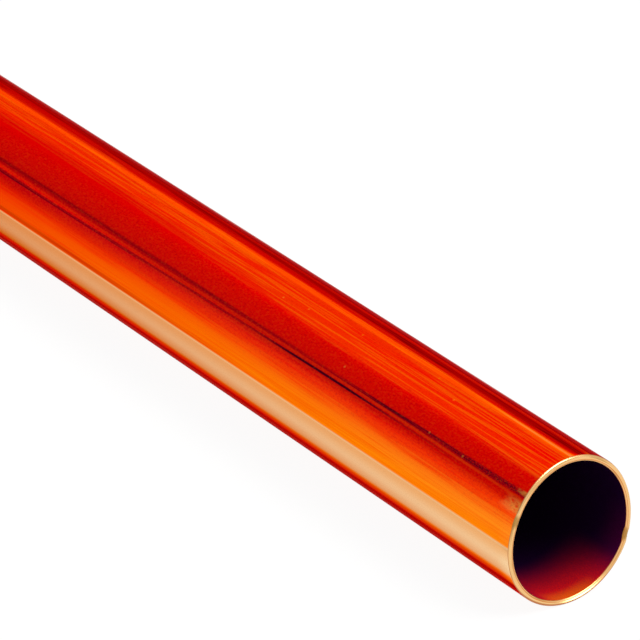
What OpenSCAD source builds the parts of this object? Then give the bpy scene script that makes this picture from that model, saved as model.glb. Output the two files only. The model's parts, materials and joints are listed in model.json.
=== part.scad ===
// Straight length of drawn copper water tube, lying on a level floor.
// X runs along the tube, Z is up, and the origin is on the floor under its middle.

/* [Tube] */
// Outside diameter
tube_od = 22; // [8:0.5:108]
// Thickness of the wall
wall = 0.9; // [0.7:0.1:2]
// Length over the two ends
tube_l = 1000; // [300:50:3000]

/* [Ends] */
// Lean of the hand-sawn +X end above the ridge where its two saw cuts meet
upper_lean = 6.5; // [0:0.5:8]
// Lean of the hand-sawn +X end below that ridge
lower_lean = 2.5; // [0:0.5:8]
// Roll of that ridge about the tube's axis, down towards +Y
ridge_roll = 26; // [0:1:45]
// Width of the broken outer edge at each end
outer_break = 0.3; // [0.05:0.05:0.35]
// Width of the reamed inner edge at each end
inner_break = 0.25; // [0.05:0.05:0.3]

/* [Hidden] */
$fn = 96;

copper = [0.86, 0.34, 0.13];

tube_r = tube_od / 2;
bore_r = tube_r - wall;

// Stock left on each end of the blank for the end tool to cut away
spare = tube_r / 4;
// How far the end tool passes the tube's wall on either side
clear = tube_r / 8;
// Depth of stock that the end tool clears in front of its face
reach = tube_od;

// The ridge crosses the tube's axis here, so that the lowest point of the sawn end is the tube's full length
land_r = tube_r - outer_break;
sawn_x = tube_l / 2 - land_r * sin(min(upper_lean, lower_lean));
square_x = -tube_l / 2;

// The drawn tube before its ends are cut, along Z
module tube_blank() {
    blank_l = tube_l + 2 * spare;
    difference() {
        cylinder(h = blank_l, r = tube_r, center = true);
        cylinder(h = blank_l + 2 * clear, r = bore_r, center = true);
    }
}

// Cuts an end that faces +Z: the flat face at z = 0 and the two broken edges in one turned shape
module end_tool() {
    rotate_extrude()
        polygon([
            [0, reach],
            [tube_r + clear, reach],
            [tube_r + clear, -outer_break - clear],
            [tube_r - outer_break, 0],
            [bore_r + inner_break, 0],
            [bore_r - clear, -inner_break - clear],
            [0, -inner_break - clear],
        ]);
}

// One of the two saw cuts of the +X end, leaning back about the ridge
module saw_cut(lean) {
    translate([sawn_x, 0, 0]) rotate([-ridge_roll, 0, 0]) rotate([0, 90 - lean, 0]) end_tool();
}

module copper_tube() {
    color(copper)
        translate([0, 0, tube_r])
            difference() {
                rotate([0, 90, 0]) tube_blank();
                saw_cut(upper_lean);
                saw_cut(lower_lean);
                translate([square_x, 0, 0]) rotate([0, -90, 0]) end_tool();
            }
}

copper_tube();
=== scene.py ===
# %% [markdown]
# # A straight length of copper tube
# The part is one piece of drawn copper tube, open right through, with one end sawn by hand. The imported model
# brings its true size and place. This lesson gives it a smooth skin with real edges, three copper finishes
# and a studio that shows them. Everything is in metres, with X along the tube and the floor at zero height.

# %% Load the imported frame
import json
from math import atan2, cos, hypot, pi, radians, sin
from types import SimpleNamespace

import bpy
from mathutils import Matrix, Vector


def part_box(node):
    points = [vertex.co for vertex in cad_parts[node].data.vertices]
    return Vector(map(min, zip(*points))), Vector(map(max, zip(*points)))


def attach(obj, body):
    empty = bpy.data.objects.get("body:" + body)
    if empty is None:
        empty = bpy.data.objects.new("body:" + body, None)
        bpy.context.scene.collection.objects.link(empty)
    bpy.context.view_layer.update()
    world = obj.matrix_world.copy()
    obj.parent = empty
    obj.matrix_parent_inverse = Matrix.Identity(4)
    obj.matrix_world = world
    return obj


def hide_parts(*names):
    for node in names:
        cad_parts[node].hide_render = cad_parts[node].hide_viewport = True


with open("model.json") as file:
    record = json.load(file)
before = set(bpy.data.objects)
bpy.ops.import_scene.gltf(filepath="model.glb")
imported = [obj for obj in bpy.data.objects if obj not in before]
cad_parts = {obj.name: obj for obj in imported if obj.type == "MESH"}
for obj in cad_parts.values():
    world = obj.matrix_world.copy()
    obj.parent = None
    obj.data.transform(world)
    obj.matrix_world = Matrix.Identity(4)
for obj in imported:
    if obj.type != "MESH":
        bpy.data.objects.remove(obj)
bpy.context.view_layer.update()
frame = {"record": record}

# %% [markdown]
# The tube's driving sizes come from the frame: its box gives the length and the outer radius, and the bore in
# the record gives the inner one. Only the sawn end is repeated from the design. A hand saw cut it from two
# sides, so it has two flat faces that lean back by different angles and meet on a low ridge across the tube.

# %% Sizes of the tube
MM = 0.001
UPPER_LEAN, LOWER_LEAN = radians(6.5), radians(2.5)
RIDGE_ROLL = radians(26)
OUTER_BREAK = 0.3 * MM
INNER_BREAK = 0.25 * MM

tube_low, tube_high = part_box("copper_tube")
mounts = {mount["name"]: mount for mount in frame["record"]["mounts"]}
TUBE_R = (tube_high.z - tube_low.z) / 2
BORE_R = mounts["bore"]["dims"]["r_mm"] * MM
AXIS_Z = tube_low.z + TUBE_R


def saw_normal(lean):
    """The way a saw cut faces when it leans back about the ridge."""
    return Vector((cos(lean), sin(lean) * sin(RIDGE_ROLL), sin(lean) * cos(RIDGE_ROLL)))


saw_normals = [saw_normal(UPPER_LEAN), saw_normal(LOWER_LEAN)]
sawn_centre = Vector((tube_high.x - (TUBE_R - OUTER_BREAK) * sin(LOWER_LEAN), 0, AXIS_Z))
square_centre = Vector((tube_low.x, 0, AXIS_Z))
print(f"tube {2000 * TUBE_R:.1f} mm across, bore {2000 * BORE_R:.1f} mm, ridge at x = {sawn_centre.x:.4f} m")

# %% [markdown]
# The camera comes early, because it decides what is worth detail. It is a long lens that looks down along the
# tube, so that the sawn end sits at the lower right and the tube runs out of the picture at the upper left.
# A camera looks along its own -Z, so a track quaternion turns that axis onto the viewing direction. Where the
# camera stands follows from the place of the sawn end's centre in the picture.

# %% Camera at the photograph's viewing angle
PICTURE_PX = 640
FOCAL_PX = 4689
SENSOR_MM = 36
VIEW_AZIMUTH = radians(54.68)
VIEW_ELEVATION = radians(27.24)
END_PIXEL = (571.35, 532.22)
END_DEPTH = 641.87 * MM

to_camera = Vector((sin(VIEW_AZIMUTH) * cos(VIEW_ELEVATION),
                    -cos(VIEW_AZIMUTH) * cos(VIEW_ELEVATION),
                    sin(VIEW_ELEVATION)))
forward = -to_camera
right = forward.cross(Vector((0, 0, 1))).normalized()
up = right.cross(forward)
end_right = (END_PIXEL[0] - PICTURE_PX / 2) / FOCAL_PX
end_down = (END_PIXEL[1] - PICTURE_PX / 2) / FOCAL_PX

camera = bpy.data.objects.new("camera", bpy.data.cameras.new("camera"))
bpy.context.scene.collection.objects.link(camera)
camera.data.sensor_width = SENSOR_MM
camera.data.lens = FOCAL_PX * SENSOR_MM / PICTURE_PX
camera.location = sawn_centre - END_DEPTH * (forward + end_right * right - end_down * up)
camera.rotation_mode = "QUATERNION"
camera.rotation_quaternion = forward.to_track_quat("-Z", "Y")
bpy.context.scene.camera = camera
bpy.context.scene.view_settings.view_transform = "Standard"
print(f"lens {camera.data.lens:.1f} mm at {tuple(round(c, 4) for c in camera.location)}")

# %% [markdown]
# The tube was drawn through a die, so it is one true cylinder inside another, and then it was sawn off. It is
# modelled in that order: an open cylinder that is a little too long is the outer skin, and two bisects saw it
# off. A bisect cuts along a plane, as a saw does, so the two faces and their ridge come out true.

# %% Draw the skin and saw it off
AROUND = 360
SAW_SPARE = 4 * MM
SAW_SNAP = 0.001 * MM


def saw(centre, normal, clear):
    """Cuts the mesh along a plane; clear drops what lies in front of it."""
    bpy.ops.mesh.select_all(action="SELECT")
    bpy.ops.mesh.bisect(plane_co=centre, plane_no=normal, clear_outer=clear, threshold=SAW_SNAP)


bpy.ops.object.select_all(action="DESELECT")
blank_length = tube_high.x - tube_low.x + SAW_SPARE
bpy.ops.mesh.primitive_cylinder_add(
    vertices=AROUND, radius=TUBE_R, depth=blank_length, end_fill_type="NOTHING",
    location=(tube_low.x + blank_length / 2, 0, AXIS_Z), rotation=(0, pi / 2, 0))
tube = bpy.context.active_object
tube.name = "tube_skin"
bpy.ops.object.transform_apply(location=True, rotation=True, scale=True)
bpy.ops.object.mode_set(mode="EDIT")
for normal in saw_normals:
    saw(sawn_centre, normal, clear=True)
bpy.ops.object.mode_set(mode="OBJECT")
print("sawn skin:", len(tube.data.vertices), "points")

# %% [markdown]
# Both open edges are now extruded and drawn in towards the axis by the wall's thickness, and a bridge between
# the two new edges is the bore. Drawing an end in is a scaling about its own centre. The ridge crosses that
# centre, so both sawn faces stay flat. Small tests on a point pick out the edges that each step needs.

# %% Draw the ends in and bridge the bore
NEAR = 0.02 * MM
middle_r = (TUBE_R + BORE_R) / 2


def from_axis(point):
    return hypot(point.y, point.z - AXIS_Z)


def behind_saw(point):
    """How far a point lies behind the sawn faces."""
    return -max((point - sawn_centre).dot(normal) for normal in saw_normals)


def behind_square(point):
    return point.x - square_centre.x


def on_sawn_end(point):
    return abs(behind_saw(point)) < NEAR


def on_square_end(point):
    return abs(behind_square(point)) < NEAR


def on_an_end(point):
    return on_sawn_end(point) or on_square_end(point)


def select_edges(wanted):
    """Selects the edges whose two points both pass the test, and leaves the tube in edit mode."""
    bpy.ops.object.mode_set(mode="OBJECT")
    points = tube.data.vertices
    for item in (*tube.data.vertices, *tube.data.edges, *tube.data.polygons):
        item.select = False
    for edge in tube.data.edges:
        edge.select = all(wanted(points[i].co) for i in edge.vertices)
    bpy.ops.object.mode_set(mode="EDIT")
    bpy.ops.mesh.select_mode(type="EDGE")


for centre, on_end in ((sawn_centre, on_sawn_end), (square_centre, on_square_end)):
    select_edges(on_end)
    bpy.ops.mesh.extrude_region()
    bpy.ops.transform.resize(value=[BORE_R / TUBE_R] * 3, center_override=centre)
select_edges(lambda p: on_an_end(p) and from_axis(p) < middle_r)
bpy.ops.mesh.bridge_edge_loops()

# %% [markdown]
# Rings along the tube keep the long faces short near the cut, where the picture looks closest. They also part
# the two ends, so that the next selection takes the edges round each end and not the long ones between them.
# The saw's sharp edges were then broken with a file and a reamer, which is a small round bevel on each edge.

# %% Add the rings and break the edges
RING_STEPS = [step * MM for step in (2.5, 5, 10, 20, 40, 80, 150, 300, 500, 750)]
BREAK_STEPS = 4
SMOOTH_BELOW = radians(35)

for step in RING_STEPS:
    saw(sawn_centre - Vector((step, 0, 0)), (1, 0, 0), clear=False)
for width, on_skin in ((OUTER_BREAK, lambda p: from_axis(p) > middle_r),
                       (INNER_BREAK, lambda p: from_axis(p) < middle_r)):
    select_edges(lambda p: on_skin(p) and on_an_end(p))
    bpy.ops.mesh.bevel(offset=width, segments=BREAK_STEPS, affect="EDGES", clamp_overlap=True)
bpy.ops.mesh.select_all(action="SELECT")
bpy.ops.mesh.normals_make_consistent(inside=False)
bpy.ops.object.mode_set(mode="OBJECT")
bpy.ops.object.shade_smooth_by_angle(angle=SMOOTH_BELOW)
print("tube:", len(tube.data.vertices), "points,", len(tube.data.polygons), "faces")

# %% [markdown]
# Each face is sorted by its distance from the axis: the skin, the two cut rims and the bore. The same sorting
# lays out a UV map for baking. The wall is unrolled, with its seam along the underside. The stretch near the
# cut gets half of the map, because the finish has its finest marks there. Each rim is a narrow strip above it.

# %% Sort the faces and unroll them
SKIN, RIM, BORE = range(3)
CLOSE_UP = 150 * MM
MAP_LOW, MAP_MIDDLE, MAP_HIGH = 0.005, 0.5, 0.995
SKIN_ROWS, BORE_ROWS, SAWN_ROWS, SQUARE_ROWS = (0.005, 0.615), (0.63, 0.91), (0.92, 0.955), (0.96, 0.995)
rim_path = TUBE_R - BORE_R + OUTER_BREAK + INNER_BREAK
tube_length = sawn_centre.x - square_centre.x


def between(ends, share):
    return ends[0] + (ends[1] - ends[0]) * share


def from_underside(point):
    """The share of a full turn from the underside round to a point."""
    return (atan2(point.z - AXIS_Z, -point.y) / (2 * pi) + 0.25) % 1


def along_map(x):
    """Where a place along the tube goes across the map."""
    depth = sawn_centre.x - x
    if depth < CLOSE_UP:
        return between((MAP_LOW, MAP_MIDDLE), max(depth, 0) / CLOSE_UP)
    return between((MAP_MIDDLE, MAP_HIGH), (depth - CLOSE_UP) / (tube_length - CLOSE_UP))


def map_place(point, face, turn):
    """The UV of one corner of a face."""
    if face.material_index != RIM:
        return along_map(point.x), between(SKIN_ROWS if face.material_index == SKIN else BORE_ROWS, turn)
    at_saw = face.center.x > 0
    behind = behind_saw(point) if at_saw else behind_square(point)
    past_middle = 1 if from_axis(face.center) < middle_r else -1
    path = TUBE_R - from_axis(point) + OUTER_BREAK + past_middle * behind
    return between((MAP_LOW, MAP_HIGH), turn), between(SAWN_ROWS if at_saw else SQUARE_ROWS, path / rim_path)


bake_map = tube.data.uv_layers.new(name="OFBake")
for face in tube.data.polygons:
    reach = from_axis(face.center)
    face.material_index = SKIN if reach > TUBE_R - NEAR else BORE if reach < BORE_R + NEAR else RIM
    face_turn = from_underside(face.center)
    for loop in face.loop_indices:
        point = tube.data.vertices[tube.data.loops[loop].vertex_index].co
        off = (from_underside(point) - face_turn + 0.5) % 1 - 0.5
        bake_map.data[loop].uv = map_place(point, face, face_turn + off)
face_counts = [sum(face.material_index == kind for face in tube.data.polygons) for kind in (SKIN, RIM, BORE)]
print("faces of the skin, rims and bore:", face_counts)

# %% [markdown]
# Where the two saw cuts meet, the last strokes tore the metal a little. On the right a small burr leans into
# the bore, and on the left the rim is dented. A push moves the points near a spot in four steps, and each step
# takes a smaller circle of them, so the nearest points move furthest and the edge stays smooth.

# %% Tear the rim at the two ends of the ridge
PUSH_STEPS = 4
BURR_ROLL, DENT_ROLL = radians(20), radians(26)
BURR_IN, BURR_BACK, DENT_BACK = 0.24 * MM, 0.06 * MM, 0.16 * MM
TEAR_RADIUS = 1.1 * MM


def across(roll):
    """The way across the tube at a roll about its axis, down towards +Y."""
    return Vector((0, cos(roll), -sin(roll)))


def push(spot, by, radius):
    for step in range(PUSH_STEPS):
        circle = radius * (1 - step / PUSH_STEPS)
        bpy.ops.object.mode_set(mode="EDIT")
        bpy.ops.mesh.select_mode(type="VERT")
        bpy.ops.mesh.select_all(action="DESELECT")
        bpy.ops.object.mode_set(mode="OBJECT")
        for point in tube.data.vertices:
            point.select = (point.co - spot).length < circle
        bpy.ops.object.mode_set(mode="EDIT")
        bpy.ops.transform.translate(value=by / PUSH_STEPS)
    bpy.ops.object.mode_set(mode="OBJECT")


burr_spot = sawn_centre + BORE_R * across(BURR_ROLL)
dent_spot = sawn_centre - TUBE_R * across(DENT_ROLL)
torn_spots = (burr_spot, dent_spot)
push(burr_spot, -BURR_IN * across(BURR_ROLL) + Vector((-BURR_BACK, 0, 0)), TEAR_RADIUS)
push(dent_spot, Vector((-DENT_BACK, 0, 0)), TEAR_RADIUS)
print("torn rim at", [tuple(round(c, 4) for c in spot) for spot in torn_spots])

# %% [markdown]
# A node tree is easier to read as arithmetic than as boxes and wires. `Value` wraps one output socket, and
# each operator on it adds a Math node, so `1 - a * b` in Python is two nodes and their wires in Blender.

# %% Shader arithmetic
class Value:
    """An output socket that takes part in Python arithmetic."""

    def __init__(self, shader, socket):
        self.shader, self.socket = shader, socket

    def math(self, operation, *terms):
        return self.shader.node("ShaderNodeMath", {"operation": operation}, dict(enumerate(terms)))

    def __add__(self, other): return self.math("ADD", self, other)
    def __radd__(self, other): return self.math("ADD", other, self)
    def __sub__(self, other): return self.math("SUBTRACT", self, other)
    def __rsub__(self, other): return self.math("SUBTRACT", other, self)
    def __mul__(self, other): return self.math("MULTIPLY", self, other)
    def __rmul__(self, other): return self.math("MULTIPLY", other, self)
    def __truediv__(self, other): return self.math("DIVIDE", self, other)
    def __pow__(self, other): return self.math("POWER", self, other)
    def __neg__(self): return self.math("MULTIPLY", self, -1)
    def __abs__(self): return self.math("ABSOLUTE", self)

    def at_most(self, other): return self.math("MINIMUM", self, other)
    def at_least(self, other): return self.math("MAXIMUM", self, other)


# %% [markdown]
# `Shader` holds the tree of a material or of the world, and adds every other kind of node by one method, which
# sets the node's own settings first and then its sockets. Its other methods are short names for what the
# finishes use often: soft steps and lines, mixed colours, noise, and where a point is on the tube.

# %% Shader trees
# a Mix node has sockets for every kind of data, and these are the ones for colours
MIX_FACTOR, MIX_FIRST, MIX_SECOND, MIX_RESULT = 0, 6, 7, 2


class Shader:
    """The node tree of a material or of the world."""

    def __init__(self, owner):
        owner.use_nodes = True
        self.tree = owner.node_tree
        self.tree.nodes.clear()

    def node(self, kind, settings=None, sockets=None, out=0):
        made = self.tree.nodes.new(kind)
        for name, setting in (settings or {}).items():
            if name == "stops":
                self.set_stops(made.color_ramp.elements, setting)
            else:
                setattr(made, name, setting)
        for key, value in (sockets or {}).items():
            if isinstance(value, Value):
                self.tree.links.new(value.socket, made.inputs[key])
            else:
                made.inputs[key].default_value = value
        return Value(self, made.outputs[out]) if made.outputs else made

    @staticmethod
    def set_stops(elements, stops):
        while len(elements) < len(stops):
            elements.new(1)
        for element, (place, level) in zip(elements, stops):
            element.position = place
            element.color = (level, level, level, 1)

    def smooth(self, value, start, end):
        """0 before start and 1 after end, with a soft S between them; start may be the larger."""
        return self.node("ShaderNodeMapRange", {"interpolation_type": "SMOOTHSTEP"},
                         {"Value": value, "From Min": start, "From Max": end})

    def line(self, value, centre, half_width):
        """1 on a line about this centre, with soft sides."""
        return 1 - self.smooth(abs(value - centre) / half_width, 0.3, 1)

    def mix(self, factor, first, second):
        """A colour between two colours."""
        colour = lambda c: c if isinstance(c, Value) else (*c, 1)
        sockets = {MIX_FACTOR: factor, MIX_FIRST: colour(first), MIX_SECOND: colour(second)}
        return self.node("ShaderNodeMix", {"data_type": "RGBA"}, sockets, out=MIX_RESULT)

    def parts(self, vector):
        return [self.node("ShaderNodeSeparateXYZ", None, {0: vector}, out=i) for i in range(3)]

    def place(self):
        """Object coordinates, then the depth behind the cut, the turn round the axis and the height on it."""
        point = self.node("ShaderNodeTexCoord", out="Object")
        x, y, z = self.parts(point)
        rise = z - AXIS_Z
        turn = self.node("ShaderNodeMath", {"operation": "ARCTAN2"}, {0: rise, 1: -y})
        return point, sawn_centre.x - x, turn, rise / TUBE_R

    def noise(self, point, size, detail=2, offset=(0, 0, 0)):
        """Soft noise whose grain has this size along X, Y and Z."""
        spread = self.node("ShaderNodeVectorMath", {"operation": "MULTIPLY_ADD"},
                           {0: point, 1: tuple(1 / s for s in size), 2: offset})
        return self.node("ShaderNodeTexNoise", None, {"Vector": spread, "Scale": 1, "Detail": detail})

    def distance(self, point, spot):
        return self.node("ShaderNodeVectorMath", {"operation": "DISTANCE"},
                         {0: point, 1: tuple(spot)}, out="Value")

    def bump(self, height, depth):
        return self.node("ShaderNodeBump", None, {"Height": height, "Distance": depth, "Strength": 1})

    def surface(self, sockets):
        """One Principled shader into the output."""
        skin = self.node("ShaderNodeBsdfPrincipled", None, sockets)
        self.node("ShaderNodeOutputMaterial", None, {"Surface": skin})


print("shader arithmetic ready")

# %% [markdown]
# Bright drawn copper is never one colour. The die leaves fine lines along the tube, so most patterns here are
# noise that is stretched along X. They read Object coordinates, which run with the metal and meet all round
# without a seam. What the patterns share is gathered in one place: where a point is, and the noises there.

# %% What the skin's patterns share
DRIFT_END = 130 * MM


def skin_map(s):
    point, depth, turn, height = s.place()
    return SimpleNamespace(
        point=point, depth=depth, turn=turn, height=height,
        drift=depth.at_most(DRIFT_END) / DRIFT_END,
        broad=s.noise(point, (60 * MM, 2.5 * MM, 2.5 * MM)),
        lines=s.noise(point, (16 * MM, 0.55 * MM, 0.55 * MM), detail=3),
        fibre=s.noise(point, (21 * MM, 0.32 * MM, 0.32 * MM), offset=(5, 2, 6)),
        hairs=s.noise(point, (14 * MM, 0.16 * MM, 0.16 * MM), detail=1, offset=(7, 3, 1)),
        grain=s.noise(point, (0.25 * MM, 0.16 * MM, 0.16 * MM), detail=1, offset=(3, 5, 8)),
        mottle=s.noise(point, (0.40 * MM, 0.27 * MM, 0.27 * MM), detail=1, offset=(1, 6, 2)),
        rubbed=s.noise(point, (1.6 * MM, 0.7 * MM, 0.7 * MM), offset=(2, 9, 4)))


# %% [markdown]
# The top of the tube is deep red with orange streaks in it, and it turns to orange on the flanks. This is partly
# the copper's own streaky tone and partly painted reflection: the flanks are painted orange where they face the
# bright floor. Low on them a pale band with a crisp upper edge is a painted reflection of the white floor beside
# the tube.
# Away from the cut all of this slowly drifts down and is painted redder and darker, as painted shade where the
# light falls off. Noises that stretch along the tube make the borders streaky.

# %% Tones round the tube
RED_NEAR, RED_FAR = (0.86, 0.0030, 0.0005), (0.86, 0.0090, 0.0070)
ORANGE = (1.0, 0.25, 0.012)
FOOT = (0.97, 0.31, 0.11)
PAINTED_REFLECTION_NEAR, PAINTED_REFLECTION_FAR = (0.81, 0.60, 0.34), (0.71, 0.46, 0.25)
DIM_REFLECTION_NEAR, DIM_REFLECTION_FAR = (0.74, 0.40, 0.165), (0.67, 0.31, 0.13)


def top_and_flank_tones(s, at):
    """The red top, its orange streaks and the orange flank below it, partly painted reflection, with a painted
    highlight along the crest.
    """
    combed = 0.14 * (at.lines - 0.5) + 0.22 * (at.fibre - 0.5) + 0.20 * (at.hairs - 0.5)
    wavy = at.height + 0.17 * at.drift - 0.036 + combed
    wider = s.smooth(at.drift, 0.15, 0.55)
    # the orange flank is partly painted reflection of the bright floor, and it is painted weaker away from the
    # cut as painted shade
    flank = 0.70 * (1 - s.smooth(wavy, 0.27, 0.46 + 0.08 * wider))
    flank = flank + 0.30 * (1 - s.smooth(wavy, 0.36, 0.64 + 0.10 * wider))
    flank = flank * (0.97 - 0.62 * at.drift) * (1 + 4 * combed + 0.5 * (at.broad - 0.5))

    creep = s.smooth(at.drift, 0.25, 0.9)
    streaky = s.smooth(at.turn + 0.15 * (at.fibre - 0.5),
                       radians(60) + radians(4) * creep, radians(66) + radians(20) * creep)
    streak = s.smooth(at.fibre + 0.9 * (at.hairs - 0.5) + 0.25 * (at.broad - 0.5), 0.47, 0.66)
    red_patch = s.line(at.turn, radians(84.5), radians(6)) * s.line(at.depth, 42 * MM, 14 * MM)
    streak = streak * (1 - 0.7 * red_patch)
    top = 0.05 + 0.15 * at.drift + 0.17 * s.smooth(at.turn, radians(82), radians(90)) + 0.26 * streak
    # painted highlight: an orange line along the crest
    painted_crest_highlight = s.line(at.turn, radians(93.8), radians(4.5)) * (0.08 + 0.34 * at.lines)
    return s.mix(flank + streaky * top + painted_crest_highlight, s.mix(at.drift, RED_NEAR, RED_FAR), ORANGE)


def skin_tones(s, at):
    """The top and flanks, the pale band of painted floor reflection low on them, and the plain copper under
    that.
    """
    foot_edge = at.height - 0.010 + 0.055 * at.drift
    colour = s.mix(s.smooth(foot_edge, -0.31, -0.39), top_and_flank_tones(s, at), FOOT)
    # the pale band is a painted reflection of the white floor, with a painted bright line along its upper edge
    edge = at.height + 0.046 * at.drift
    reflection_grade = s.smooth(edge, 0.06, -0.16)
    painted_reflection = s.mix(reflection_grade, s.mix(at.drift, DIM_REFLECTION_NEAR, DIM_REFLECTION_FAR), s.mix(at.drift, PAINTED_REFLECTION_NEAR, PAINTED_REFLECTION_FAR))
    painted_reflection = s.mix(0.45 * s.line(edge, 0.088, 0.022), painted_reflection, PAINTED_REFLECTION_NEAR)
    reflection_band = (1 - s.smooth(edge, 0.078, 0.116)) * s.smooth(foot_edge, -0.39, -0.29)
    return s.mix(reflection_band, colour, painted_reflection)


# %% [markdown]
# Dark lines run along the tube, partly marks that a worn die and a rough floor left and partly painted
# reflection of dark bands in the room. Two of them run along the upper left of the tube. The upper one starts as
# a speckled purple band at the cut and thins out. The lower one is thin, is blackest some way along and has a
# soft dark skirt below it. A bare gap parts them. More dark lines follow the right edge and the foot; the dark
# band past the right edge and the line along the foot are painted shade.

# %% Dark lines along the tube
MAROON = (0.07, 0.0, 0.012)


def marks_and_dark_reflections(s, at):
    """How much the two dark marks cover, and the bright gap between them; partly marks, partly painted
    reflection.
    """
    speckle = s.smooth(at.grain + 0.5 * (at.hairs - 0.5), 0.40, 0.62)
    combed = s.smooth(at.hairs + 0.5 * (at.fibre - 0.5), 0.36, 0.60)
    thinned = s.smooth(at.depth, 6 * MM, 34 * MM)
    upper_turn = radians(45.6) - radians(4.6) * at.drift
    upper = s.line(at.turn + 0.04 * (at.lines - 0.5), upper_turn, 0.058 - 0.026 * thinned)
    upper = upper * (0.5 + 0.5 * ((1 - thinned) * speckle + thinned * combed))
    upper = upper * (0.90 - 0.65 * s.smooth(at.depth, 30 * MM, 52 * MM))
    shade = 0.30 * s.smooth(at.depth, 30 * MM, 75 * MM) * s.line(at.turn, upper_turn - radians(1), 0.055)

    lower_turn = radians(39.95) - radians(6.6) * s.smooth(at.depth, 30 * MM, 135 * MM)
    blackest = s.line(at.depth, 46 * MM, 20 * MM)
    lower = s.line(at.turn + 0.02 * (at.lines - 0.5), lower_turn, 0.014 + 0.018 * at.drift + 0.005 * blackest)
    lower = lower * (0.30 + 0.38 * at.drift + 0.6 * blackest) * s.smooth(at.depth, 3 * MM, 25 * MM)
    below = lower_turn - at.turn
    skirt = 0.50 * at.drift * s.smooth(below, 0, radians(1.5)) * (1 - s.smooth(below, 0, radians(17)))
    gap = s.line(at.turn, lower_turn + radians(2) + radians(1.5) * at.drift, 0.024 - 0.010 * at.drift)
    return (upper + shade + lower + skirt) * (1 - 0.9 * gap), gap


def edge_lines(s, at):
    """How much the dark lines along the right edge and the foot cover; the band past the right edge and the foot
    line are painted shade.
    """
    veil = 0.2 * s.smooth(at.drift, 0.3, 0.9) * s.line(at.turn, radians(68), radians(11))
    right = 0.40 * s.line(at.turn, radians(102.9) + radians(6.8) * at.drift, radians(5))
    # painted shade: darker past the right edge's line
    painted_right_shade = 0.42 * s.smooth(at.turn, radians(110.5), radians(114.5))
    combed = 0.30 * s.smooth(at.turn, radians(97), radians(101)) * s.smooth(at.lines, 0.52, 0.62)
    far_side = s.smooth(at.turn, radians(128), radians(150))
    hem = 0.3 * s.smooth(at.drift, 0.4, 0.9) * s.line(at.turn, radians(5.6), radians(2.8))
    # painted shade: a dark line low on the left flank, the reflection of the shade under the tube
    painted_foot_shade = 0.5 * s.line(at.turn, radians(-30.5), radians(5.5))
    return veil + right + (painted_right_shade + combed) * (1 - far_side) + hem + painted_foot_shade


# %% [markdown]
# Along the right edge and the foot two narrow strips are painted shade: dark red and hardly metallic, so that
# the metal shows no bright fringe there. The drawn lines fray their far borders. The colour changes a little
# before the metal does, because bright copper that is only half metal would look brown.

# %% Painted shade strips along the right edge and the foot
EDGE_SHADE_RED, FOOT_SHADE_RED = (0.27, 0.003, 0.005), (0.46, 0.004, 0.003)


def painted_shade_strips(s, at, colour):
    """The colour with both painted shade strips in it, and where the copper is dull."""
    frayed = at.turn + 0.30 * (at.fibre - 0.5) + 0.30 * (at.lines - 0.5)
    edge_end = s.smooth(frayed, radians(129), radians(121))
    foot_end = s.smooth(frayed, radians(-50), radians(-44))
    # both strips are painted shade: dark red along the right edge and the foot
    colour = s.mix(s.smooth(at.turn, radians(111), radians(114)) * edge_end, colour, EDGE_SHADE_RED)
    colour = s.mix(s.smooth(at.turn, radians(-29), radians(-33)) * foot_end, colour, FOOT_SHADE_RED)
    dull = s.smooth(at.turn, radians(112.5), radians(117)) * edge_end
    dull = dull + s.smooth(at.turn, radians(-32), radians(-35)) * foot_end
    return colour, dull


# %% [markdown]
# A hand rubbed the skin at the cut, so there are two small tan smudges with a red streak between them. Use
# also left a few tiny nicks, where paler copper shows through the bloom. Each is a soft dot about its place.

# %% Smudges and nicks
TAN = (0.88, 0.30, 0.05)
# millimetres behind the cut and degrees round the tube
NICKS = [(14.6, 45), (22.5, 46.3), (24, 78), (30, 88), (44, 52.5), (47, 83), (58.5, 76), (64, 72.5), (82, 95)]


def smudges(s, at):
    """How much the two smudges cover."""
    ragged = at.depth + 5 * MM * (at.rubbed - 0.5)
    small = s.line(at.turn, radians(46.8), radians(2.4)) * (1 - s.smooth(ragged, 0.2 * MM, 3.0 * MM))
    large = s.line(at.turn, radians(35.8), radians(7)) * (1 - s.smooth(ragged, 0.2 * MM, 5.0 * MM))
    return (small + large).at_most(1) * s.smooth(at.rubbed + 0.3 * (at.hairs - 0.5), 0.22, 0.48)


def nicked(s, at, colour):
    """The colour with the nicks in it."""
    for depth_mm, degrees_round in NICKS:
        nick = Vector((sawn_centre.x - depth_mm * MM, -TUBE_R * cos(radians(degrees_round)),
                       AXIS_Z + TUBE_R * sin(radians(degrees_round))))
        colour = s.mix(0.4 * (1 - s.smooth(s.distance(at.point, nick), 0.05 * MM, 0.28 * MM)), colour, TAN)
    return colour


# %% [markdown]
# The finish puts the tones, the lines, the strips and the smudges on one metal shader, with three thin painted
# highlights: an orange line along the crest, a pale line on it near the cut and a bright orange line near the
# right edge. A fine mottle lies over the red top. Its roughness and a very low bump follow the drawn lines, and
# a strong tint keeps the metal red where it is seen at a low angle.

# %% The drawn copper finish
PAINTED_EDGE_HIGHLIGHT = (1.0, 0.32, 0.12)
LOW_ANGLE_TINT = (0.65, 0.06, 0.02, 1)
COPPER_ROUGHNESS = 0.16
LINE_DEPTH = 0.004 * MM


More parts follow.
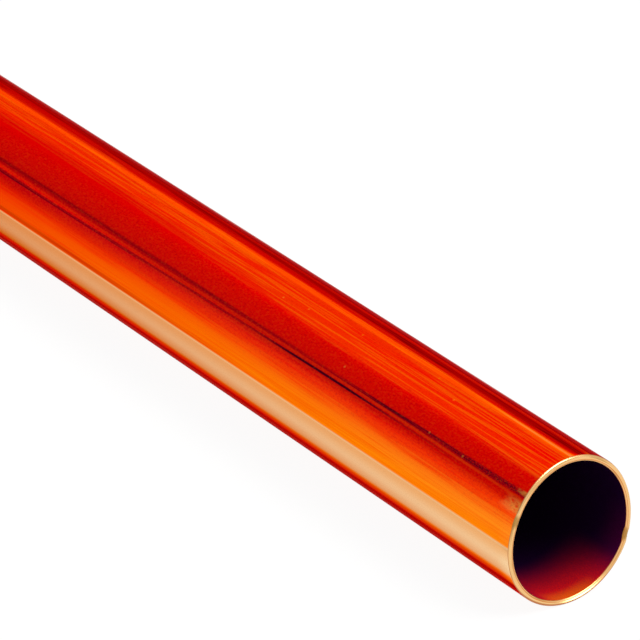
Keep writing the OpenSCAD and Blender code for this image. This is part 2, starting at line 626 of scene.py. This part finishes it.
def drawn_copper():
    material = bpy.data.materials.new("drawn_copper")
    s = Shader(material)
    at = skin_map(s)
    marks_and_reflections, gap = marks_and_dark_reflections(s, at)
    colour = s.mix(0.10 * gap * (1 - 0.6 * s.smooth(at.depth, 20 * MM, 50 * MM)), skin_tones(s, at), ORANGE)
    colour = s.mix((marks_and_reflections + edge_lines(s, at)).at_most(1), colour, MAROON)
    # painted highlight: a pale line along the crest near the cut
    painted_glint = s.line(at.turn, radians(94.1), radians(1.8)) * (1 - s.smooth(at.depth, 10 * MM, 30 * MM))
    colour = s.mix(0.25 * painted_glint, colour, PAINTED_REFLECTION_NEAR)
    # painted highlight: a bright orange line near the right edge
    painted_edge_highlight = s.line(at.turn, radians(110.4), radians(3.0)) * (1 - 0.8 * at.drift)
    colour = s.mix(0.8 * painted_edge_highlight, colour, PAINTED_EDGE_HIGHLIGHT)

    colour, dull = painted_shade_strips(s, at, colour)
    smudge = smudges(s, at)
    colour = nicked(s, at, s.mix(0.85 * smudge, colour, TAN))
    red_top = s.smooth(at.height, 0.25, 0.60) * (1 - 0.55 * s.smooth(at.turn, radians(60), radians(68)))
    colour = s.mix(0.05 * red_top * s.smooth(at.mottle, 0.50, 0.30), colour, ORANGE)
    colour = s.mix((0.03 + 0.18 * red_top) * s.smooth(at.mottle, 0.50, 0.74), colour, MAROON)

    s.surface({
        "Base Color": colour,
        # dull marks the painted shade strips along the right edge and the foot
        "Metallic": 1 - 0.85 * dull,
        "Specular IOR Level": 0.0,
        "Roughness": COPPER_ROUGHNESS + 0.08 * (at.lines - 0.5) + 0.15 * smudge,
        "Specular Tint": LOW_ANGLE_TINT,
        "Normal": s.bump(at.lines + 0.4 * at.hairs, LINE_DEPTH),
    })
    return material


# %% [markdown]
# The sawn faces are bare metal. Fresh copper is paler than the drawn skin, almost gold. The file ran round the
# rim, so its marks are noise that changes quickly with the distance from the axis and slowly round it. A thin
# painted shade darkens the outer edge, widest low on the rim, and a thin orange line along the inner edge is a
# painted reflection of the red bore. The torn spots are dark. The reamer was held askew, so low on the rim its
# slope is wider. It is only a quarter of a millimetre, so a bump is enough for it.

# %% The cut copper finish
FILED_DARK, FILED_BRIGHT = (0.82, 0.44, 0.15), (0.98, 0.64, 0.30)
RIM_DULL = (0.42, 0.22, 0.05)
INNER_EDGE_REFLECTION, OUTER_EDGE_SHADE = (0.62, 0.15, 0.012), (0.40, 0.08, 0.015)
TORN_BROWN = (0.34, 0.17, 0.03)
# the way from the axis to where the reamer cut most, in Y and Z
REAM_SIDE = (sin(radians(167)), cos(radians(167)))


def cut_copper():
    material = bpy.data.materials.new("cut_copper")
    s = Shader(material)
    point = s.node("ShaderNodeTexCoord", out="Object")
    _, y, z = s.parts(point)
    reach = (y ** 2 + (z - AXIS_Z) ** 2) ** 0.5
    round_rim = s.node("ShaderNodeCombineXYZ", None, {"X": reach, "Y": y, "Z": z})
    askew = s.smooth((y * REAM_SIDE[0] + (z - AXIS_Z) * REAM_SIDE[1]) / reach, 0.80, 0.95)
    filed = s.noise(round_rim, (0.10 * MM, 4 * MM, 4 * MM))
    dull = s.smooth(s.noise(round_rim, (0.22 * MM, 6 * MM, 6 * MM), offset=(4, 1, 7)), 0.50, 0.68)
    colour = s.mix(filed, FILED_DARK, FILED_BRIGHT)
    colour = s.mix(0.6 * dull * (1 - askew), colour, RIM_DULL)
    # painted reflection of the red bore along the inner edge and the reamed slope
    inner_reflection = 1 - s.smooth(reach, BORE_R + 0.03 * MM, BORE_R + 0.09 * MM)
    reamed_reflection = s.line(reach, BORE_R + INNER_BREAK, 0.10 * MM)
    # painted shade along the outer edge, widest low on the rim
    low = s.smooth((z - AXIS_Z) / TUBE_R, -0.40, -0.90)
    outer_shade = s.smooth(reach, TUBE_R - 0.12 * MM - 0.32 * MM * low, TUBE_R - 0.03 * MM - 0.27 * MM * low)
    colour = s.mix((0.8 * inner_reflection + 0.7 * reamed_reflection * (1 - askew)).at_most(1), colour, INNER_EDGE_REFLECTION)
    colour = s.mix(0.75 * outer_shade, colour, OUTER_EDGE_SHADE)
    for spot in torn_spots:
        torn = 1 - s.smooth(s.distance(point, spot), 0.5 * MM, 1.3 * MM)
        colour = s.mix(0.75 * torn, colour, TORN_BROWN)

    flat_from = BORE_R + INNER_BREAK + 0.26 * MM * askew
    reamed_slope = ((reach.at_least(BORE_R + INNER_BREAK) - flat_from) / MM).at_most(0)
    rougher = 1 - s.smooth(reach, flat_from - 0.10 * MM, flat_from + 0.05 * MM)
    s.surface({
        "Base Color": colour,
        "Metallic": 1.0,
        "Roughness": 0.18 + 0.1 * filed + 0.12 * rougher,
        "Normal": s.bump(0.01 * filed + askew * reamed_slope, MM),
    })
    return material


# %% [markdown]
# Nothing polishes the bore, so it keeps a dark film from drawing and annealing, and it is only partly metallic.
# Near the mouth it is painted lighter, and along the lowest part near the mouth it is painted red and, at the
# lip,
# orange: a painted glow where the light from the open end falls in on the dark film.

# %% The bore's film and painted glow
FILM_DEEP, FILM_MOUTH = (0.013, 0.0, 0.022), (0.056, 0.0, 0.034)
PAINTED_GLOW_RED, PAINTED_GLOW_ORANGE = (0.79, 0.007, 0.003), (0.78, 0.145, 0.006)
FILM_METALLIC, FILM_SPECULAR = 0.35, 0.05


def bore_film():
    material = bpy.data.materials.new("bore_film")
    s = Shader(material)
    point, depth, _, height = s.place()
    grain = s.noise(point, (0.25 * MM, 0.16 * MM, 0.16 * MM))
    # painted light: lighter, then red and at the lip orange, low near the mouth, where the light from the open
    # end falls in
    lowest = s.smooth(height, -0.52, -0.97)
    near = 1 - s.smooth(depth, -2 * MM, 11 * MM)
    mouth = (1 - s.smooth(depth, 0, 6 * MM)) * s.smooth(height, 0.2, -0.45)
    lip = s.smooth(height, -0.80, -0.93) * (1 - s.smooth(depth, 0, 2.4 * MM))
    colour = s.mix(mouth, FILM_DEEP, FILM_MOUTH)
    colour = s.mix(lowest * near * (0.4 + 1.2 * grain), colour, PAINTED_GLOW_RED)
    colour = s.mix(0.6 * lip, colour, PAINTED_GLOW_ORANGE)
    s.surface({
        "Base Color": colour,
        "Metallic": FILM_METALLIC,
        "Roughness": 0.42 + 0.2 * grain,
        "Specular IOR Level": FILM_SPECULAR,
    })
    return material


# %% [markdown]
# The finishes go on in the order that the faces were sorted in: skin, rim, bore.

# %% Put the finishes on the tube
for finish in (drawn_copper(), cut_copper(), bore_film()):
    tube.data.materials.append(finish)
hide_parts("copper_tube")
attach(tube, "root")
print("finishes:", [finish.name for finish in tube.data.materials])

# %% [markdown]
# The floor is plain and pale, and so wide that its edge is lost at the horizon. To the camera, and in
# reflections, it is mostly its own even white, so that the tube's soft shadow and its red glow stay faint.

# %% Floor
FLOOR_SIDE = 200
FLOOR_EVEN = 0.93
FLOOR_PAINT, FLOOR_WHITE = (0.92, 0.92, 0.92, 1), (1, 1, 1, 1)

bpy.ops.object.select_all(action="DESELECT")
bpy.ops.mesh.primitive_plane_add(size=FLOOR_SIDE, location=(0, 0, 0))
floor = bpy.context.active_object
floor.name = "floor"
floor_paint = bpy.data.materials.new("floor_paint")
paint = Shader(floor_paint)
seen = sum((paint.node("ShaderNodeLightPath", out=f"Is {kind} Ray") for kind in ("Glossy", "Transmission")),
           paint.node("ShaderNodeLightPath", out="Is Camera Ray")).at_most(1)
matt = paint.node("ShaderNodeBsdfDiffuse", None, {"Color": FLOOR_PAINT})
even = paint.node("ShaderNodeEmission", None, {"Color": FLOOR_WHITE, "Strength": 1})
painted = paint.node("ShaderNodeMixShader", None, {0: FLOOR_EVEN * seen, 1: matt, 2: even})
paint.node("ShaderNodeOutputMaterial", None, {"Surface": painted})
floor.data.materials.append(floor_paint)
print("floor:", FLOOR_SIDE, "m square")

# %% [markdown]
# Polished metal shows the room more than it shows itself, so the studio is part of the finish. A white tent
# stands over the tube, and its brightness changes only with the angle round the tube. One light and dark band
# of the tent is then one long band on the metal, as in any picture of a bright tube.

# %% The tent
# brightness by the angle round the tube, from the left horizon over the top to the right one
TENT = [(0, 1.06), (10, 1.0), (16, 1.03), (21, 1.05), (27, 0.885), (33, 0.66), (44, 0.58), (50, 0.64),
        (62, 0.69), (74, 0.74), (80, 0.83), (85, 1.0), (95, 1.05), (140, 1.03), (144, 1.4), (149, 1.4),
        (152, 0.80), (157, 0.76), (164, 0.76), (172, 0.76), (180, 0.70)]
TENT_BRIGHTEST = 2
TENT_ENDS = 0.8

world = bpy.data.worlds.new("studio")
bpy.context.scene.world = world
sky = Shader(world)
look_x, look_y, look_z = sky.parts(sky.node("ShaderNodeTexCoord", out="Generated"))
round_tube = sky.node("ShaderNodeMath", {"operation": "ARCTAN2"}, {0: look_z, 1: -look_y}) / pi
stops = [(angle / 180, level / TENT_BRIGHTEST) for angle, level in TENT]
wall = TENT_BRIGHTEST * sky.node("ShaderNodeValToRGB", {"stops": stops}, {0: round_tube})
ends = sky.smooth(abs(look_x), 0.80, 0.98)
level = (1 - ends) * wall + TENT_ENDS * ends
back = sky.node("ShaderNodeBackground", None, {"Color": (1, 1, 1, 1), "Strength": level})
sky.node("ShaderNodeOutputWorld", None, {"Surface": back})
tent_levels = [brightness for _, brightness in TENT]
print("tent levels:", min(tent_levels), "to", max(tent_levels))

# %% [markdown]
# Two lamps add what the tent lacks. A long strip lies on the floor along the tube's left foot and brightens
# the pale lower flank. A softbox above the open end puts the glints on the broken edges and lights the mouth of
# the bore. Both are seen by the metal and not by the camera. A lamp's energy is its radiance times pi times its
# area, so the function takes the brightness that the metal will show.

# %% The lamps
def softbox(name, centre, facing, width, length, radiance):
    """A rectangular lamp of even brightness."""
    lamp = bpy.data.lights.new(name, "AREA")
    lamp.shape = "RECTANGLE"
    lamp.size, lamp.size_y = width, length
    lamp.energy = radiance * pi * width * length
    box = bpy.data.objects.new(name, lamp)
    bpy.context.scene.collection.objects.link(box)
    box.location = centre
    box.rotation_mode = "QUATERNION"
    box.rotation_quaternion = Vector(facing).to_track_quat("-Z", "Y")
    box.visible_camera = False


STRIP_NEAR, STRIP_FAR = -10.6 * MM, -27.8 * MM
STRIP_HEIGHT = 0.5 * MM
STRIP_RADIANCE = 0.2
strip_centre = ((tube_low.x + tube_high.x) / 2, (STRIP_NEAR + STRIP_FAR) / 2, STRIP_HEIGHT)
softbox("floor_strip", strip_centre, (0, 0, 1), tube_high.x - tube_low.x, STRIP_NEAR - STRIP_FAR, STRIP_RADIANCE)

BOX_DISTANCE, BOX_SIDE, BOX_RADIANCE = 1.6, 0.85, 10
to_box = Vector((0.51, 0.35, 0.79)).normalized()
softbox("end_box", sawn_centre + BOX_DISTANCE * to_box, -to_box, BOX_SIDE, BOX_SIDE, BOX_RADIANCE)
